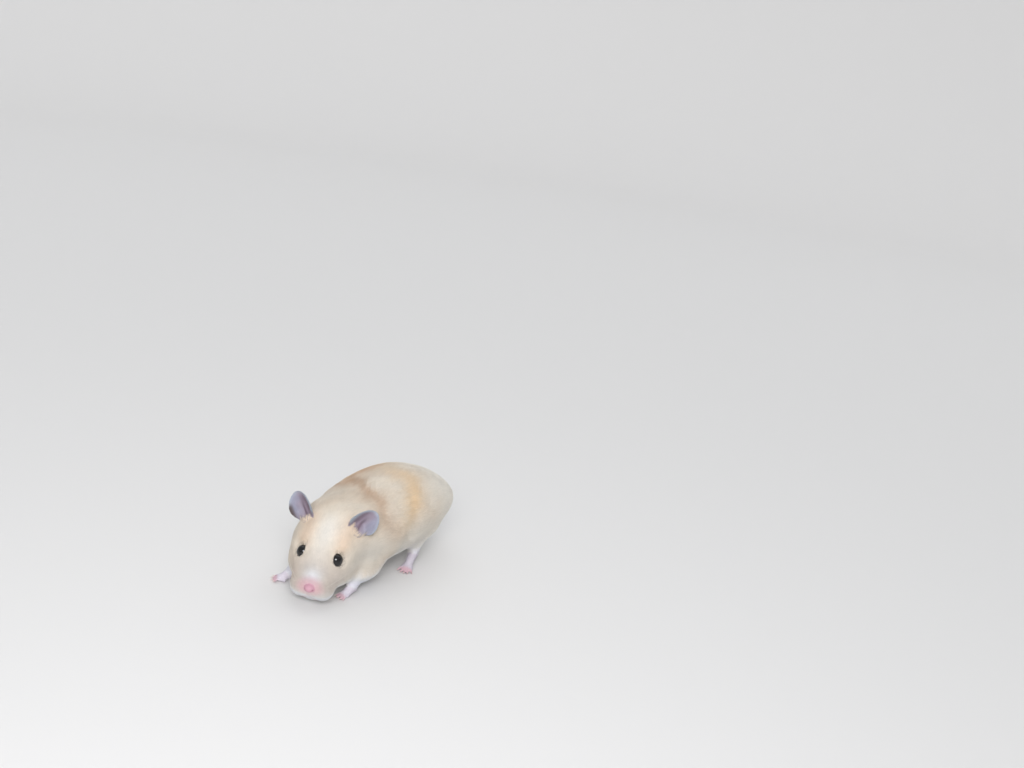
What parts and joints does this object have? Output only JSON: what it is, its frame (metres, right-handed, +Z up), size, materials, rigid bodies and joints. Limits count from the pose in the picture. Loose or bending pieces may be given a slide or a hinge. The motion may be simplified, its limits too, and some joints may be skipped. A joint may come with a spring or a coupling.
{
  "type": "syrian hamster",
  "caption": "Life-size, still model of a cream Syrian hamster, walking low to the floor with its head turned to its left.",
  "frame": {"origin": "on the floor, midway between the animal's extremes from side to side and from nose to tail", "axes": "+Z up, -Y towards the nose along the trunk, +X towards the animal's left"},
  "size_m": [0.051, 0.1212, 0.0497],
  "materials": {
    "coat": "matt",
    "ears": "matt",
    "paws": "satin",
    "nose": "satin",
    "eyes": "gloss"
  },
  "bodies": {
    "root": {"chest": "coat", "ear_left": "ears", "ear_right": "ears", "eye_left": "eyes", "eye_right": "eyes", "foreleg_left": "coat", "foreleg_right": "coat", "forepaw_left": "paws", "forepaw_right": "paws", "head": "coat", "hindfoot_left": "paws", "hindfoot_right": "paws", "hindleg_left": "coat", "hindleg_right": "coat", "neck": "coat", "nose": "nose", "rump": "coat", "tail": "coat", "trunk": "coat"}
  },
  "joints": []
}
